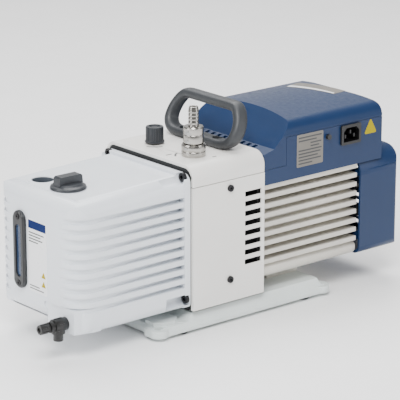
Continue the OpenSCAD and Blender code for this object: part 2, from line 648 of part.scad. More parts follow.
module motor_rotor() {
  place() color("#8d9196") difference() {
    union() {
      xcyl(32.4, 132, 210, 0, axis_z);
      xring(31, 20, 127, 215, 0, axis_z);
    }
    xcyl(8.52, 120, 220, 0, axis_z);
  }
}
module motor_shaft() {
  place() color("#b4b8bd") union() {
    xcyl(8.5, 59, fan_x0 + 38, 0, axis_z);
  }
}
module cooling_fan() {
  place() color("#2a2c2e") {
    difference() {
      union() {
        xcyl(15, fan_x0 + 12, fan_x0 + 36, 0, axis_z);
        xcyl(52, fan_x0 + 12, fan_x0 + 14, 0, axis_z);
        for (i = [0:blade_n - 1]) translate([0, 0, axis_z]) rotate([i * 360 / blade_n, 0, 0]) bx(fan_x0 + 13, fan_x0 + 34, -1, 1, 13, 52);
      }
      xcyl(8.52, fan_x0, fan_x0 + 50, 0, axis_z);
    }
  }
}
module fan_cover() {
  place() color("#365a94") difference() {
    union() {
      difference() {
        intersection() {
          ex(fan_x0, fan_x1) rrect(-73, 73, 12.3, 131.5, 9, 26);
          translate([0, 0, 0]) linear_extrude(140) {
            translate([fan_x0, -73]) square([fan_cover_l - 6, 146]);
            translate([fan_x0, -67]) square([fan_cover_l, 134]);
            for (s = [-1, 1]) translate([fan_x1 - 6, s * 67]) circle(r = 6);
          }
          ey(-80, 80) {
            translate([fan_x0, 12.3]) square([fan_cover_l - 6, 119.2]);
            translate([fan_x0, 18.3]) square([fan_cover_l, 107.2]);
            for (z = [18.3, 125.5]) translate([fan_x1 - 6, z]) circle(r = 6);
          }
        }
        ex(fan_x0 - 1, fan_x1 - 3) rrect(-70.4, 70.4, 14.9, 128.9, 7, 24);
      }
      for (s = [-1, 1], z = fan_screw_z) intersection() {
        xcyl(5, fan_x0 - 1.8, fan_x1 - 2, s * 62, z);
        ex(fan_x0 - 3, fan_x1) rrect(-72, 72, 14, 130, 8, 25);
      }
    }
    for (s = [-1, 1], z = fan_screw_z) { xcyl(2.2, fan_x0 - 3, fan_x1 + 1, s * 62, z); xcyl(4, fan_x1 - 3, fan_x1 + 1, s * 62, z); }
    intersection() {
      xring(52, 14, fan_x1 - 4, fan_x1 + 1, 0, axis_z);
      for (i = [-6:6]) bx(fan_x1 - 5, fan_x1 + 2, -60, 60, axis_z + i * 8 - 2.4, axis_z + i * 8 + 2.4);
      for (s = [-1, 1]) bx(fan_x1 - 5, fan_x1 + 2, s > 0 ? 2 : -60, s > 0 ? 60 : -2, 0, 200);
    }
  }
}
module fan_cover_screws() {
  place() color("#c0c2c4") for (s = [-1, 1], z = fan_screw_z)
    translate([fan_x1 - 3, s * 62, z]) rotate([0, 90, 0]) screw(3.6, 2.4, 1.85, fan_cover_l + 8, 1.6);
}

// ---------- electrical housing ----------
module housing_line(d) { // crowned across, with round shoulders
  rc = 400;
  rs = 16;
  ye = box_hw - rs;
  zc = box_top - rc;
  zs = zc + sqrt((rc - rs) * (rc - rs) - ye * ye);
  ty = ye + (rs - d) * ye / (rc - rs);
  translate([-box_hw + d, 40]) square([2 * box_hw - 2 * d, zs - 40]);
  for (s = [-1, 1]) translate([s * ye, zs]) circle(r = rs - d);
  intersection() {
    translate([0, zc]) circle(r = rc - d);
    translate([-ty, zs - 5]) square([2 * ty, 60]);
  }
}
module housing_form(d) {
  xr = 278 - d;
  rr = 10 - d;
  zr = box_top - d - rr - 0.6;
  intersection() {
    ex(95, 290) housing_line(d);
    ey(-80, 80) difference() {
      polygon([[101 + d, 120 - d * 10], [101 + d, 154.5 - d], [116 + d * 0.6, 158.5 - d * 0.9], [159.4 + d, 200 - d * 0.5], [xr, 200], [xr, 120 - d * 10]]);
      difference() { translate([xr - rr, zr]) square([20, 40]); translate([xr - rr, zr]) circle(r = rr); translate([xr - rr - 1, zr - 1]) square([1.05, 40]); }
    }
  }
}
module housing_lower(g) { ey(-90, 90) polygon([[90, 60], [90, 137 - g], [134 + g, 137 - g], [134 + g, 169 - g], [290, 169 - g], [290, 60]]); }
module housing_clear() { // clearance over the crown of the motor and over the fan cover
  xcyl(61, 95, 250, 0, axis_z);
  ex(fan_x0 - 2, 290) rrect(-73.6, 73.6, 11, 132.1, 9, 26.6);
}
module electrical_housing() {
  place() color("#3a62a0") difference() {
    union() {
      intersection() { difference() { housing_form(0); housing_form(3); } housing_lower(0.2); }
      // bosses on which the housing is screwed to the motor frame
      for (x = [112, 228], s = [-1, 1]) { zcyl(5, 119.7, 135, x, s * 62); bx(x - 1.5, x + 1.5, s > 0 ? 62 : -70, s > 0 ? 70 : -62, 121, 134); }
    }
    housing_clear();
    // cut-outs of the socket and of the reset button
    ey(-80, -60) rrect(215.5, 242, 147, 166.4, 2, 2);
    ycyl(3.08, -80, -60, 195, 159);
    for (x = [112, 228], s = [-1, 1]) zcyl(2.05, 110, 130, x, s * 62);
  }
}
module electrical_lid() {
  place() color("#3a62a0") difference() {
    housing_form(0);
    housing_form(3);
    housing_lower(-0.2);
    housing_clear();
    // slots along the foot of the sloped front
    for (i = [0:vent_n - 1]) bx(105, 114.5, -45 + i * 90 / (vent_n - 1) - 2.4, -45 + i * 90 / (vent_n - 1) + 2.4, 150, 164);
  }
}
module power_inlet() {
  place() color("#161617") difference() {
    union() {
      ey(-box_hw - 2.4, -box_hw) rrect(213.9, 243.6, 145.4, 168, 2, 2);
      ey(-box_hw - 0.1, -box_hw + 24) rrect(215.7, 241.8, 147.2, 166.2, 2, 2);
    }
    ey(-box_hw - 3, -box_hw + 16) polygon([[217.2, 148.6], [240.3, 148.6], [240.3, 160.4], [236.1, 164.6], [221.4, 164.6], [217.2, 160.4]]);
  }
  place() color("#c9a94e") {
    bx(227.8, 229.8, -box_hw - 0.5, -box_hw + 16.5, 157.2, 161.2);
    for (x = [221.2, 234.4]) bx(x, x + 2, -box_hw + 0.5, -box_hw + 16.5, 152.2, 156.2);
  }
}
module reset_button() {
  place() color("#17181a") {
    ycyl(3, -box_hw - 3.2, -box_hw + 9, 195, 159);
    ycyl(4.4, -box_hw + 3.3, -box_hw + 5, 195, 159);
  }
}
module run_capacitor() {
  place() color("#d8d8d4") {
    xcyl(17, 150, 214, 22, 160);
    for (z = [-5, 5]) xcyl(1.2, 213.9, 222, 22 + z, 160);
  }
}

base_plate();
rubber_feet();
base_screws();
pump_bracket();
top_cover();
side_cover_near();
side_cover_far();
side_cover_screws();
carry_handle();
handle_screws();
oil_case();
case_gasket();
case_bolts();
sight_glass_frame();
sight_glass();
sight_glass_screws();
front_label();
oil_filler_cap();
filler_seal();
drain_valve_body();
drain_valve_knob();
gas_ballast_knob();
gas_ballast_seat();
inlet_body();
inlet_nut();
hose_barb();
inlet_o_ring();
stator_stage1();
stator_stage2();
middle_plate();
end_plate();
rotor_stage1();
rotor_stage2();
vane_1a();
vane_1b();
vane_2a();
vane_2b();
exhaust_reed_1();
exhaust_reed_2();
oil_baffle();
module_bolts();
shaft_seal();
pump_shaft();
coupling_hubs();
coupling_spider();
motor_frame();
motor_end_shields();
motor_bearings();
stator_core();
stator_windings();
motor_rotor();
motor_shaft();
cooling_fan();
fan_cover();
fan_cover_screws();
electrical_housing();
electrical_lid();
power_inlet();
reset_button();
run_capacitor();
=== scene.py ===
import math
import bpy
import bmesh
from mathutils import Vector, Matrix


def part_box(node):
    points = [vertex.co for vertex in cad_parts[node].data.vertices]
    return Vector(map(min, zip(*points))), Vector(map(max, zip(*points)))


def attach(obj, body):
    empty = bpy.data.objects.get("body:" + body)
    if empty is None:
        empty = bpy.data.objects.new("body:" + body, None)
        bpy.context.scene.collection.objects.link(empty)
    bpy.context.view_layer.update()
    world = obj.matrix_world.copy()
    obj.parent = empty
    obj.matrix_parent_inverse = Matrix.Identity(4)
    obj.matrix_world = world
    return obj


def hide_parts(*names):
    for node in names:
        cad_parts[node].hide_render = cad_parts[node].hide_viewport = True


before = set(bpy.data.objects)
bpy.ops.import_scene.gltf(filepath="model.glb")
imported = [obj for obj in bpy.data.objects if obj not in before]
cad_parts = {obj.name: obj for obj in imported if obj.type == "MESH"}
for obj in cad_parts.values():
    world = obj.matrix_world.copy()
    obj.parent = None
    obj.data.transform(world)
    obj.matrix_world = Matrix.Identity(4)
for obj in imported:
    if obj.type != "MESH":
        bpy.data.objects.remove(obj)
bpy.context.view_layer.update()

MM = 0.001
OX, OZ = -60.5, 24.0      # the pump block's corner in the row frame, mm
ROOT = "pump_frame"


def P(x, y, z):
    return Vector(((x + OX) * MM, y * MM, (z + OZ) * MM))


# ---------------------------------------------------------------- materials
def new_mat(name):
    m = bpy.data.materials.new(name)
    m.use_nodes = True
    nt = m.node_tree
    nt.nodes.clear()
    out = nt.nodes.new("ShaderNodeOutputMaterial")
    bs = nt.nodes.new("ShaderNodeBsdfPrincipled")
    nt.links.new(bs.outputs[0], out.inputs[0])
    return m, nt, bs


def coords(nt, scale=(1, 1, 1)):
    tc = nt.nodes.new("ShaderNodeTexCoord")
    mp = nt.nodes.new("ShaderNodeMapping")
    mp.inputs["Scale"].default_value = scale
    nt.links.new(tc.outputs["Object"], mp.inputs["Vector"])
    return mp.outputs[0]


def noise(nt, vec, scale, detail=3.0, rough=0.55):
    n = nt.nodes.new("ShaderNodeTexNoise")
    n.inputs["Scale"].default_value = scale
    n.inputs["Detail"].default_value = detail
    n.inputs["Roughness"].default_value = rough
    nt.links.new(vec, n.inputs["Vector"])
    return n.outputs["Fac"]


def ramp(nt, fac, stops):
    r = nt.nodes.new("ShaderNodeValToRGB")
    e = r.color_ramp.elements
    while len(e) < len(stops):
        e.new(0.5)
    for k, (p, c) in enumerate(stops):
        e[k].position = p
        e[k].color = (c[0], c[1], c[2], 1)
    nt.links.new(fac, r.inputs[0])
    return r.outputs[0]


def remap(nt, fac, lo, hi, a=0.3, b=0.7):
    r = nt.nodes.new("ShaderNodeMapRange")
    r.inputs["From Min"].default_value = a
    r.inputs["From Max"].default_value = b
    r.inputs["To Min"].default_value = lo
    r.inputs["To Max"].default_value = hi
    nt.links.new(fac, r.inputs["Value"])
    return r.outputs[0]


def surface(name, col, rough=0.4, rvar=0.06, var=0.05, blotch=14, grain=900, bump=0.12, dist=0.0002,
            metallic=0.0, coat=0.0, stretch=(1, 1, 1), spec=0.5, ior=1.5, dirt=0.0, coat_rough=0.1):
    """Colour drifts over centimetres, roughness with it, and a fine grain in the normal."""
    m, nt, bs = new_mat(name)
    v = coords(nt)
    big = noise(nt, v, blotch, 4.0)
    lo = [max(0.0, c * (1 - var)) for c in col]
    hi = [min(1.0, c * (1 + var)) for c in col]
    cr = ramp(nt, big, [(0.32, lo), (0.68, hi)])
    if dirt:
        fine = noise(nt, v, 70, 8.0, 0.7)
        dk = ramp(nt, fine, [(0.56, (1, 1, 1)), (0.74, (1 - dirt, 1 - dirt, 1 - dirt * 1.1))])
        mx = nt.nodes.new("ShaderNodeMix")
        mx.data_type = "RGBA"
        mx.blend_type = "MULTIPLY"
        mx.inputs[0].default_value = 1.0
        nt.links.new(cr, mx.inputs[6])
        nt.links.new(dk, mx.inputs[7])
        cr = mx.outputs[2]
    nt.links.new(cr, bs.inputs["Base Color"])
    sv = coords(nt, stretch)
    g = noise(nt, sv, grain, 2.0)
    nt.links.new(remap(nt, noise(nt, sv, grain * 0.15, 3.0), rough - rvar, rough + rvar), bs.inputs["Roughness"])
    bp = nt.nodes.new("ShaderNodeBump")
    bp.inputs["Strength"].default_value = bump
    bp.inputs["Distance"].default_value = dist
    nt.links.new(g, bp.inputs["Height"])
    nt.links.new(bp.outputs[0], bs.inputs["Normal"])
    bs.inputs["Metallic"].default_value = metallic
    bs.inputs["Coat Weight"].default_value = coat
    bs.inputs["Coat Roughness"].default_value = coat_rough
    bs.inputs["Specular IOR Level"].default_value = spec
    bs.inputs["IOR"].default_value = ior
    return m


M = {
    "base": surface("base_paint_m", (0.66, 0.71, 0.70), 0.42, coat=0.12, grain=1100, bump=0.2, dirt=0.05),
    "rubber": surface("rubber_m", (0.018, 0.018, 0.019), 0.75, var=0.2, grain=1500, bump=0.3),
    "screw": surface("black_screw_m", (0.016, 0.016, 0.018), 0.36, var=0.2, metallic=0.6, grain=1800, bump=0.1),
    "iron": surface("cast_frame_m", (0.020, 0.021, 0.022), 0.6, metallic=0.3, grain=700, bump=0.4),
    "block": surface("block_paint_m", (0.76, 0.745, 0.715), 0.40, coat=0.18, grain=1300, bump=0.16, var=0.02, dirt=0.03),
    "handle": surface("handle_plastic_m", (0.028, 0.031, 0.035), 0.47, var=0.14, grain=2200, bump=0.35, dist=0.00015),
    "case": surface("case_paint_m", (0.70, 0.735, 0.78), 0.36, coat=0.25, grain=1000, bump=0.14, var=0.02, dirt=0.03),
    "frame": surface("window_frame_m", (0.016, 0.017, 0.019), 0.40, metallic=0.1, coat=0.05, grain=1600, bump=0.1),
    "label": surface("label_film_m", (0.80, 0.81, 0.83), 0.30, coat=0.35, var=0.02, grain=400, bump=0.03),
    "cap": surface("cap_plastic_m", (0.022, 0.025, 0.030), 0.38, var=0.12, grain=1900, bump=0.25),
    "valve": surface("valve_plastic_m", (0.0045, 0.0042, 0.004), 0.36, var=0.2, grain=1800, bump=0.2),
    "brass": surface("ballast_seat_m", (0.045, 0.043, 0.040), 0.38, metallic=0.7, grain=1500, bump=0.1),
    "nickel": surface("nickel_m", (0.40, 0.385, 0.36), 0.19, rvar=0.05, metallic=1.0, grain=160, stretch=(1, 1, 30), bump=0.05, var=0.03),
    "stator": surface("stator_iron_m", (0.25, 0.26, 0.27), 0.42, metallic=0.85, grain=800, bump=0.2),
    "steel": surface("ground_steel_m", (0.52, 0.53, 0.55), 0.27, metallic=1.0, grain=300, stretch=(1, 12, 12), bump=0.08),
    "vane": surface("vane_laminate_m", (0.23, 0.16, 0.09), 0.5, var=0.25, grain=600, stretch=(1, 1, 14), bump=0.3),
    "spring": surface("spring_steel_m", (0.55, 0.57, 0.60), 0.3, metallic=1.0, grain=900, bump=0.08),
    "alloy": surface("turned_alloy_m", (0.50, 0.51, 0.52), 0.35, metallic=0.95, grain=500, bump=0.12),
    "spider": surface("spider_red_m", (0.50, 0.07, 0.045), 0.5, var=0.12, grain=1500, bump=0.2),
    "fins": surface("fin_alloy_m", (0.58, 0.555, 0.505), 0.46, metallic=0.35, var=0.05, grain=900, bump=0.3, dirt=0.12),
    "core": surface("core_steel_m", (0.20, 0.19, 0.185), 0.45, metallic=0.8, grain=300, stretch=(30, 1, 1), bump=0.3),
    "copper": surface("copper_m", (0.58, 0.24, 0.08), 0.3, metallic=0.8, coat=0.5, grain=500, stretch=(1, 8, 8), bump=0.4),
    "fan": surface("fan_plastic_m", (0.03, 0.032, 0.035), 0.45, grain=1700, bump=0.25),
    "blue": surface("blue_plastic_m", (0.0062, 0.0225, 0.072), 0.36, coat=0.06, coat_rough=0.2, spec=0.28, var=0.05, grain=1500, bump=0.16),
    "zinc": surface("zinc_screw_m", (0.66, 0.67, 0.68), 0.25, metallic=1.0, grain=1200, bump=0.08),
    "socket": surface("socket_plastic_m", (0.006, 0.006, 0.0065), 0.33, var=0.2, grain=1600, bump=0.15),
    "can": surface("capacitor_can_m", (0.62, 0.62, 0.60), 0.33, metallic=0.8, grain=500, stretch=(1, 10, 10), bump=0.1),
    "ink": surface("label_ink_m", (0.035, 0.037, 0.042), 0.45, var=0.15, grain=700, bump=0.05),
    "tan": surface("plate_film_m", (0.150, 0.138, 0.120), 0.42, coat=0.05, var=0.03, grain=500, bump=0.05),
    "yellow": surface("yellow_film_m", (0.36, 0.29, 0.0), 0.5, spec=0.1, var=0.04, grain=500, bump=0.05),
    "oil": surface("oil_m", (0.040, 0.030, 0.016), 0.1, var=0.1, grain=40, bump=0.02, coat=0.5),
    "shade": surface("recess_dark_m", (0.012, 0.012, 0.013), 0.7, var=0.2, grain=900, bump=0.1),
    "band": surface("label_band_m", (0.002, 0.014, 0.085), 0.5, spec=0.1, var=0.03, grain=500, bump=0.03),
    "gasket": surface("gasket_m", (0.008, 0.008, 0.009), 0.7, var=0.2, grain=1500, bump=0.3),
    "white": surface("plate_white_m", (0.78, 0.79, 0.81), 0.32, coat=0.3, var=0.02, grain=500, bump=0.03),
    "mark": surface("mark_print_m", (0.10, 0.10, 0.10), 0.45, var=0.1, grain=900, bump=0.05),
}


def glass_mat():
    m, nt, bs = new_mat("window_glass_m")
    v = coords(nt)
    c = ramp(nt, noise(nt, v, 30, 2.0), [(0.3, (0.05, 0.09, 0.19)), (0.7, (0.09, 0.14, 0.26))])
    nt.links.new(c, bs.inputs["Base Color"])
    bs.inputs["Transmission Weight"].default_value = 0.6
    bs.inputs["Roughness"].default_value = 0.06
    bs.inputs["IOR"].default_value = 1.47
    return m


M["glass"] = glass_mat()


def paint_bore_shade(m, centre, radius, z_top):
    """Painted shade inside one bore of a painted casting: its walls darkened by their place in the part."""
    nt = m.node_tree
    bs = next(n for n in nt.nodes if n.type == "BSDF_PRINCIPLED")
    old = bs.inputs["Base Color"].links[0].from_socket
    tc = nt.nodes.new("ShaderNodeTexCoord")
    sep = nt.nodes.new("ShaderNodeSeparateXYZ")
    nt.links.new(tc.outputs["Object"], sep.inputs[0])

    def math_node(op, a, b):
        n = nt.nodes.new("ShaderNodeMath")
        n.operation = op
        for k, v in enumerate((a, b)):
            if isinstance(v, float):
                n.inputs[k].default_value = v
            else:
                nt.links.new(v, n.inputs[k])
        return n.outputs[0]

    dx = math_node("SUBTRACT", sep.outputs[0], float(centre[0]))
    dy = math_node("SUBTRACT", sep.outputs[1], float(centre[1]))
    r2 = math_node("ADD", math_node("MULTIPLY", dx, dx), math_node("MULTIPLY", dy, dy))
    near = math_node("LESS_THAN", r2, float(radius * radius))
    low = math_node("LESS_THAN", sep.outputs[2], float(z_top))
    mask = math_node("MULTIPLY", near, low)
    mix = nt.nodes.new("ShaderNodeMix")
    mix.data_type = "RGBA"
    nt.links.new(mask, mix.inputs[0])
    nt.links.new(old, mix.inputs[6])
    # painted shade: the colour standing for the shadow on the bore's walls
    mix.inputs[7].default_value = (0.055, 0.065, 0.080, 1)
    nt.links.new(mix.outputs[2], bs.inputs["Base Color"])


# painted shade inside the exhaust bore of the oil case
EXHAUST = P(-118, 31, 145.4)
paint_bore_shade(M["case"], EXHAUST, 0.01225, EXHAUST.z - 0.0008)

NODE_MAT = {}


def assign(key, *names):
    for n in names:
        NODE_MAT[n] = key


assign("base", "base_plate")
assign("rubber", "rubber_feet", "filler_seal", "inlet_o_ring", "shaft_seal")
assign("gasket", "case_gasket")
assign("screw", "base_screws", "side_cover_screws", "case_bolts", "handle_screws", "sight_glass_screws", "module_bolts")
assign("iron", "pump_bracket")
assign("block", "top_cover", "side_cover_near", "side_cover_far")
assign("handle", "carry_handle")
assign("case", "oil_case")
assign("frame", "sight_glass_frame")
assign("glass", "sight_glass")
assign("label", "front_label")
assign("cap", "oil_filler_cap", "gas_ballast_knob")
assign("valve", "drain_valve_body", "drain_valve_knob")
assign("brass", "gas_ballast_seat")
assign("nickel", "inlet_body", "inlet_nut", "hose_barb")
assign("stator", "stator_stage1", "stator_stage2", "middle_plate", "end_plate")
assign("steel", "rotor_stage1", "rotor_stage2", "pump_shaft", "motor_shaft", "motor_bearings")
assign("vane", "vane_1a", "vane_1b", "vane_2a", "vane_2b")
assign("spring", "exhaust_reed_1", "exhaust_reed_2", "oil_baffle")
assign("alloy", "coupling_hubs")
assign("spider", "coupling_spider")
assign("fins", "motor_frame", "motor_end_shields", "motor_rotor")
assign("core", "stator_core")
assign("copper", "stator_windings")
assign("fan", "cooling_fan")
assign("blue", "fan_cover", "electrical_housing", "electrical_lid")
assign("zinc", "fan_cover_screws")
assign("socket", "power_inlet", "reset_button")
assign("can", "run_capacitor")

for name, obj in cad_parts.items():
    obj.data.materials.clear()
    obj.data.materials.append(M[NODE_MAT[name]])


# ---------------------------------------------------------------- soft edges on the CAD nodes
def soften(name, width, segs=2, angle=32):
    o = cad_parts[name]
    w = o.modifiers.new("weld", "WELD")
    w.merge_threshold = 0.00001
    b = o.modifiers.new("soft_edge", "BEVEL")
    b.width = width * MM
    b.segments = segs
    b.limit_method = "ANGLE"
    b.angle_limit = math.radians(angle)
    b.use_clamp_overlap = True
    b.harden_normals = False
    b.miter_outer = "MITER_ARC"


# ---------------------------------------------------------------- mesh helpers
def finish_obj(bm, name, mat, body=ROOT, smooth=True, angle=35):
    bmesh.ops.recalc_face_normals(bm, faces=bm.faces)
    me = bpy.data.meshes.new(name)
    bm.to_mesh(me)
    bm.free()
    o = bpy.data.objects.new(name, me)
    bpy.context.scene.collection.objects.link(o)
    me.materials.append(mat)
    if smooth:
        for p in me.polygons:
            p.use_smooth = True
        me.set_sharp_from_angle(angle=math.radians(angle))
    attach(o, body)
    return o


def loft(rings, closed_u=True, cap=True, loop=False):
    """rings: lists of Vectors of equal length; a skin between them."""
    bm = bmesh.new()
    vs = [[bm.verts.new(p) for p in r] for r in rings]
    n = len(vs[0])
    m = len(vs)
    for i in range(m if loop else m - 1):
        a, b = vs[i], vs[(i + 1) % m]
        for k in range(n if closed_u else n - 1):
            k2 = (k + 1) % n
            bm.faces.new((a[k], a[k2], b[k2], b[k]))
    if cap and not loop:
        bm.faces.new(list(reversed(vs[0])))
        bm.faces.new(vs[-1])
    return bm


def catmull(pts, per=8, closed=True):
    out = []
    n = len(pts)
    for i in range(n if closed else n - 1):
        p0, p1, p2, p3 = (pts[(i + d) % n] if closed else pts[min(max(i + d, 0), n - 1)] for d in (-1, 0, 1, 2))
        for s in range(per):
            t = s / per
            out.append(tuple(0.5 * (2 * b + (c - a) * t + (2 * a - 5 * b + 4 * c - d) * t * t + (3 * b - a - 3 * c + d) * t ** 3)
                             for a, b, c, d in zip(p0, p1, p2, p3)))
    return out


def slab(name, outline, origin, u, v, thick, mat, body=ROOT, bevel=0.15):
    """A thin film or plate: outline in (u, v) mm from origin, raised along u x v."""
    nrm = u.cross(v).normalized()
    bm = bmesh.new()
    vs = [bm.verts.new(origin + u * (a * MM) + v * (b * MM)) for a, b in outline]
    f = bm.faces.new(vs)
    r = bmesh.ops.extrude_face_region(bm, geom=[f])
    bmesh.ops.translate(bm, verts=[e for e in r["geom"] if isinstance(e, bmesh.types.BMVert)], vec=nrm * (thick * MM))
    bmesh.ops.recalc_face_normals(bm, faces=bm.faces)
    o = finish_obj(bm, name, mat, body, smooth=False)
    b = o.modifiers.new("edge", "BEVEL")
    b.width = bevel * MM
    b.segments = 2
    return o


def round_rect(a0, a1, b0, b1, r, n=5):
    out = []
    for cx, cy, s in ((a1 - r, b1 - r, 0), (a0 + r, b1 - r, 90), (a0 + r, b0 + r, 180), (a1 - r, b0 + r, 270)):
        for k in range(n + 1):
            t = math.radians(s + 90 * k / n)
            out.append((cx + r * math.cos(t), cy + r * math.sin(t)))
    return out


# ---------------------------------------------------------------- carry handle
def make_handle():
    half = [(0, 165.2), (20, 165.2), (38, 165.4), (47.8, 167.9), (53.6, 174), (55.2, 181.5), (53.6, 190), (49.4, 197.6), (44.6, 202.6), (38.5, 204.9), (20, 205.1)]
    loop = half + [(0, 205.1)] + [(-y, z) for y, z in reversed(half[1:])]
    path = catmull(loop, 6)

    def lean(z):
        xs = [(160, 71, 9.0), (168, 73.3, 8.7), (175, 76, 8.4), (182, 79.2, 8.0), (192, 83.8, 8.0), (201, 87.6, 7.9), (212, 91.0, 7.6)]
        for (z0, x0, h0), (z1, x1, h1) in zip(xs, xs[1:]):
            if z <= z1:
                t = (z - z0) / (z1 - z0)
                return x0 + t * (x1 - x0), h0 + t * (h1 - h0)
        return xs[-1][1:]

    rings = []
    n = len(path)
    for i, (y, z) in enumerate(path):
        x, h = lean(z)
        xa, _ = lean(path[(i + 1) % n][1])
        xb, _ = lean(path[i - 1][1])
        c = Vector((x, y, z))
        t = Vector((xa, *path[(i + 1) % n])) - Vector((xb, *path[i - 1]))
        t.normalize()
        side = Vector((1, 0, 0)) - t * t.x
        side.normalize()
        up = t.cross(side).normalized()
        w = 5.5
        ring = []
        for k in range(28):
            a = 2 * math.pi * k / 28
            e = 2 / 2.7
            cu = math.copysign(abs(math.cos(a)) ** e, math.cos(a))
            cv = math.copysign(abs(math.sin(a)) ** e, math.sin(a))
            q = c + side * (h * cu) + up * (w * cv)
            q.z = max(q.z, 160.02)
            ring.append(P(*q))
        rings.append(ring)
    bm = loft(rings, loop=True)
    o = finish_obj(bm, "grip_loop", M["handle"], ROOT, angle=50)
    # counterbores over the two screws
    cut = bmesh.new()
    for s in (-1, 1):
        bmesh.ops.create_cone(cut, cap_ends=True, segments=40, radius1=5.6 * MM, radius2=5.6 * MM, depth=30 * MM,
                              matrix=Matrix.Translation(P(73, s * 28, 180.2)))
    me = bpy.data.meshes.new("cut")
    cut.to_mesh(me)
    cut.free()
    co = bpy.data.objects.new("cut", me)
    bpy.context.scene.collection.objects.link(co)
    b = o.modifiers.new("bore", "BOOLEAN")
    b.operation = "DIFFERENCE"
    b.solver = "EXACT"
    b.object = co
    bpy.context.view_layer.update()
    dg = bpy.context.evaluated_depsgraph_get()
    done = bpy.data.meshes.new_from_object(o.evaluated_get(dg))
    o.modifiers.clear()
    old = o.data
    o.data = done
    bpy.data.meshes.remove(old)
    bpy.data.objects.remove(co)
    bpy.data.meshes.remove(me)
    for p in o.data.polygons:
        p.use_smooth = True
    o.data.set_sharp_from_angle(angle=math.radians(50))
    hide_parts("carry_handle")
    return o


make_handle()

for n, w, s in (("oil_case", 0.9, 2), ("top_cover", 0.9, 3), ("base_plate", 1.0, 2),
                ("motor_frame", 0.5, 2), ("fan_cover", 0.7, 2), ("electrical_housing", 0.7, 2),
                ("oil_filler_cap", 0.8, 3), ("gas_ballast_knob", 0.35, 2), ("sight_glass_frame", 0.5, 2),
                ("inlet_body", 0.5, 2), ("inlet_nut", 0.4, 2), ("drain_valve_body", 0.4, 2), ("drain_valve_knob", 0.4, 2), ("power_inlet", 0.4, 2),
                ("case_bolts", 0.4, 2), ("hose_barb", 0.2, 2), ("side_cover_screws", 0.3, 2), ("fan_cover_screws", 0.3, 2), ("reset_button", 0.3, 2)):
    soften(n, w, s)

# ---------------------------------------------------------------- labels and marks
X, Y, Z = Vector((1, 0, 0)), Vector((0, 1, 0)), Vector((0, 0, 1))

# rating plate on the near side of the electrical housing, its print as plain bars
ny = -72.0
slab("rating_plate", round_rect(149, 188, 131.5, 168.2, 1.5), P(0, ny, 0), X, Z, 0.25, M["tan"])
bars = bmesh.new()


def bar(bm, a0, a1, b0, b1, origin, u, v, th):
    n = u.cross(v).normalized()
    vs = [bm.verts.new(origin + u * (a * MM) + v * (b * MM) + n * (t * MM)) for t in (0, th) for a, b in ((a0, b0), (a1, b0), (a1, b1), (a0, b1))]
    for f in ((0, 3, 2, 1), (4, 5, 6, 7), (0, 1, 5, 4), (1, 2, 6, 5), (2, 3, 7, 6), (3, 0, 4, 7)):
        bm.faces.new([vs[i] for i in f])


o0 = P(0, ny, 0)
for k, (a0, a1) in enumerate(((151.5, 185.5), (151.5, 178), (169, 185), (169, 182), (151.5, 185.5), (151.5, 184), (151.5, 180), (151.5, 185), (151.5, 172))):
    zb = 163.6 - k * 3.65
    bar(bars, a0, a1, zb, zb + 1.5, o0, X, Z, 0.33)
finish_obj(bars, "rating_bars", M["ink"], smooth=False)

# blank yellow triangle beside the socket
tri = []
for cx, cz, s in ((252.7, 153.4, 150), (267.3, 153.4, 270), (260, 166.6, 30)):
    for k in range(5):
        t = math.radians(s + 120 * k / 4)
        tri.append((cx + 1.5 * math.cos(t), cz + 1.5 * math.sin(t)))
slab("side_triangle", tri, P(0, ny, 0), X, Z, 0.25, M["yellow"])

# front label, its print as plain bands
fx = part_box("front_label")[0][0] / MM - OX
fo = P(fx, 0, 0)
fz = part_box("front_label")
fy0, fy1 = -fz[1][1] / MM, -fz[0][1] / MM
fz0, fz1 = fz[0][2] / MM - OZ, fz[1][2] / MM - OZ
fb = bmesh.new()
bar(fb, fy0 + 1.2, fy1 - 1.2, fz1 - 10.5, fz1 - 1.5, fo, -Y, Z, 0.12)
finish_obj(fb, "front_band", M["band"], smooth=False)
fb = bmesh.new()
for k, w in enumerate((0.9, 0.7, 0.82, 0.55)):
    bar(fb, fy0 + 2, fy0 + 2 + w * (fy1 - fy0 - 4), fz1 - 15.5 - k * 3.2, fz1 - 14.3 - k * 3.2, fo, -Y, Z, 0.12)
for k, w in enumerate((0.85, 0.6)):
    bar(fb, fy0 + 2, fy0 + 2 + w * (fy1 - fy0 - 4), fz0 + 3 + k * 3, fz0 + 4.1 + k * 3, fo, -Y, Z, 0.12)
finish_obj(fb, "front_bars", M["ink"], smooth=False)

for k, zc in enumerate((fz0 + 22, fz0 + 12)):
    t3 = []
    for cx, cz, st in ((fy1 - 9.2, zc - 2.6, 150), (fy1 - 3.4, zc - 2.6, 270), (fy1 - 6.3, zc + 2.6, 30)):
        for q in range(5):
            t = math.radians(st + 120 * q / 4)
            t3.append((cx + 0.5 * math.cos(t), cz + 0.5 * math.sin(t)))
    slab("front_triangle_%d" % (k + 1), t3, fo, -Y, Z, 0.14, M["yellow"], bevel=0.04)

# flow marks on the block top, by the inlet and the gas ballast
tb = bmesh.new()
t0 = P(0, 0, 160)


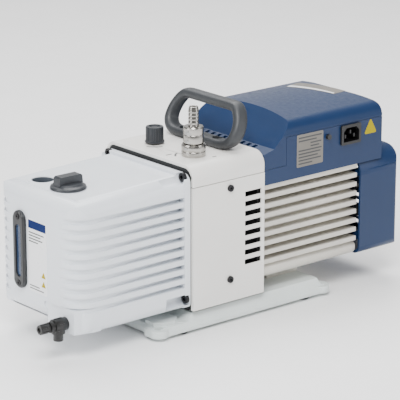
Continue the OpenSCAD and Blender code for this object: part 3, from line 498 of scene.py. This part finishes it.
def arc_mark(bm, cx, cy, r, a0, a1, w, head):
    n = 14
    pts = []
    for k in range(n + 1):
        t = math.radians(a0 + (a1 - a0) * k / n)
        pts.append((t, cx + r * math.cos(t), cy + r * math.sin(t)))
    vin = [bm.verts.new(P(cx + (r - w / 2) * math.cos(t), cy + (r - w / 2) * math.sin(t), 160.12)) for t, _, _ in pts]
    vout = [bm.verts.new(P(cx + (r + w / 2) * math.cos(t), cy + (r + w / 2) * math.sin(t), 160.12)) for t, _, _ in pts]
    vin0 = [bm.verts.new(v.co - Vector((0, 0, 0.12 * MM))) for v in vin]
    vout0 = [bm.verts.new(v.co - Vector((0, 0, 0.12 * MM))) for v in vout]
    for k in range(n):
        bm.faces.new((vin[k], vout[k], vout[k + 1], vin[k + 1]))
        bm.faces.new((vin0[k], vin0[k + 1], vout0[k + 1], vout0[k]))
        bm.faces.new((vout[k], vout0[k], vout0[k + 1], vout[k + 1]))
        bm.faces.new((vin[k], vin[k + 1], vin0[k + 1], vin0[k]))
    bm.faces.new((vin[0], vin0[0], vout0[0], vout[0]))
    bm.faces.new((vin[n], vout[n], vout0[n], vin0[n]))


arc_mark(tb, 30, 27, 16.5, 200, 262, 1.9, 3)
arc_mark(tb, 31, -38, 19.5, 116, 152, 2.1, 3)
bar(tb, 42, 47, -57.5, -55.5, t0, X, Y, 0.12)
bar(tb, 8, 16, -20.5, -18.5, t0, X, Y, 0.12)
finish_obj(tb, "top_marks", M["mark"], smooth=False)

# oil behind the window
ob = bmesh.new()
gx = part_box("sight_glass")[1][0] / MM - OX
rings = []
for x, sh in ((gx + 0.2, 0.4), (gx + 2.6, 0.4)):
    rings.append([P(x, 24.5 + a, b) for a, b in round_rect(-3.6 + sh, 3.6 - sh, 48.5, 84, 1.6)])
oil = loft(rings)
finish_obj(oil, "oil_fill", M["oil"])

# plate on top of the electrical housing, follows its crown
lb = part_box("electrical_lid")[1]
top_z = lb[2] / MM - OZ


def crown(y):
    return top_z - (400 - math.sqrt(400 * 400 - y * y))


def draped(name, corners, mat, lift=0.18, nu=10, nv=10):
    bm = bmesh.new()
    g = []
    for i in range(nu + 1):
        row = []
        for k in range(nv + 1):
            s, t = i / nu, k / nv
            p = [(1 - s) * (1 - t) * a + s * (1 - t) * b + s * t * c + (1 - s) * t * d for a, b, c, d in zip(*corners)]
            row.append((p[0], p[1]))
        g.append(row)
    top = [[bm.verts.new(P(x, y, crown(y) + lift)) for x, y in r] for r in g]
    bot = [[bm.verts.new(P(x, y, crown(y) - 0.02)) for x, y in r] for r in g]
    for i in range(nu):
        for k in range(nv):
            bm.faces.new((top[i][k], top[i + 1][k], top[i + 1][k + 1], top[i][k + 1]))
            bm.faces.new((bot[i][k], bot[i][k + 1], bot[i + 1][k + 1], bot[i + 1][k]))
    for i in range(nu):
        bm.faces.new((top[i][0], bot[i][0], bot[i + 1][0], top[i + 1][0]))
        bm.faces.new((top[i][nv], top[i + 1][nv], bot[i + 1][nv], bot[i][nv]))
    for k in range(nv):
        bm.faces.new((top[0][k], top[0][k + 1], bot[0][k + 1], bot[0][k]))
        bm.faces.new((top[nu][k], bot[nu][k], bot[nu][k + 1], top[nu][k + 1]))
    return finish_obj(bm, name, mat)


draped("top_plate", ((236, 44), (262, 52), (270, -20), (250, -22)), M["tan"])
draped("top_plate_strip", ((237.6, 43), (245, 45.6), (253.8, -19.2), (251, -20)), M["white"], lift=0.26)

# ---------------------------------------------------------------- floor, light, camera
def floor():
    bm = bmesh.new()
    n = 40
    s = 6.0
    prof = [(-s, 0.0), (2.2, 0.0)]
    for k in range(1, 13):
        a = math.radians(90 * k / 12)
        prof.append((2.2 + 1.2 * math.sin(a), 1.2 * (1 - math.cos(a))))
    prof.append((3.4, 6.0))
    d = Vector((0.63, 0.776, 0)).normalized()
    e = Vector((d.y, -d.x, 0))
    rows = []
    for a, z in prof:
        rows.append([bm.verts.new(d * a + e * b + Vector((0, 0, z))) for b in (-6, 6)])
    for r0, r1 in zip(rows, rows[1:]):
        bm.faces.new((r0[0], r0[1], r1[1], r1[0]))
    me = bpy.data.meshes.new("studio_floor")
    bm.to_mesh(me)
    bm.free()
    o = bpy.data.objects.new("studio_floor", me)
    bpy.context.scene.collection.objects.link(o)
    me.materials.append(surface("floor_m", (0.94, 0.94, 0.94), 0.6, var=0.01, grain=60, bump=0.02, spec=0.2))
    for p in me.polygons:
        p.use_smooth = True


floor()


def area(name, loc, target, size, power, col=(1, 1, 1), size_y=None):
    d = bpy.data.lights.new(name, "AREA")
    d.energy = power
    d.color = col
    d.size = size
    if size_y:
        d.shape = "RECTANGLE"
        d.size_y = size_y
    o = bpy.data.objects.new(name, d)
    bpy.context.scene.collection.objects.link(o)
    o.location = loc
    o.rotation_euler = (Vector(target) - Vector(loc)).to_track_quat("-Z", "Y").to_euler()


area("key", (-1.0, -1.1, 1.9), (0, 0, 0.1), 1.2, 78)
area("front", (-2.0, 0.3, 0.9), (-0.2, 0, 0.1), 1.1, 24)
area("side", (1.2, -2.2, 0.9), (0.1, 0, 0.1), 1.2, 15)
area("over", (0.5, 0.8, 2.1), (0.1, 0, 0.1), 1.6, 66)

world = bpy.data.worlds.new("studio")
bpy.context.scene.world = world
world.use_nodes = True
world.node_tree.nodes["Background"].inputs[0].default_value = (1, 1, 1, 1)
world.node_tree.nodes["Background"].inputs[1].default_value = 0.32

cam_d = bpy.data.cameras.new("camera")
cam_d.sensor_width = 36
cam_d.lens = 206.12
cam_d.clip_end = 50
cam = bpy.data.objects.new("camera", cam_d)
bpy.context.scene.collection.objects.link(cam)
cam.location = P(-1474.1, -1851.1, 818.8)
look = P(71.7, 0, 93.4) - cam.location
cam.rotation_euler = look.to_track_quat("-Z", "Y").to_euler()
bpy.context.scene.camera = cam
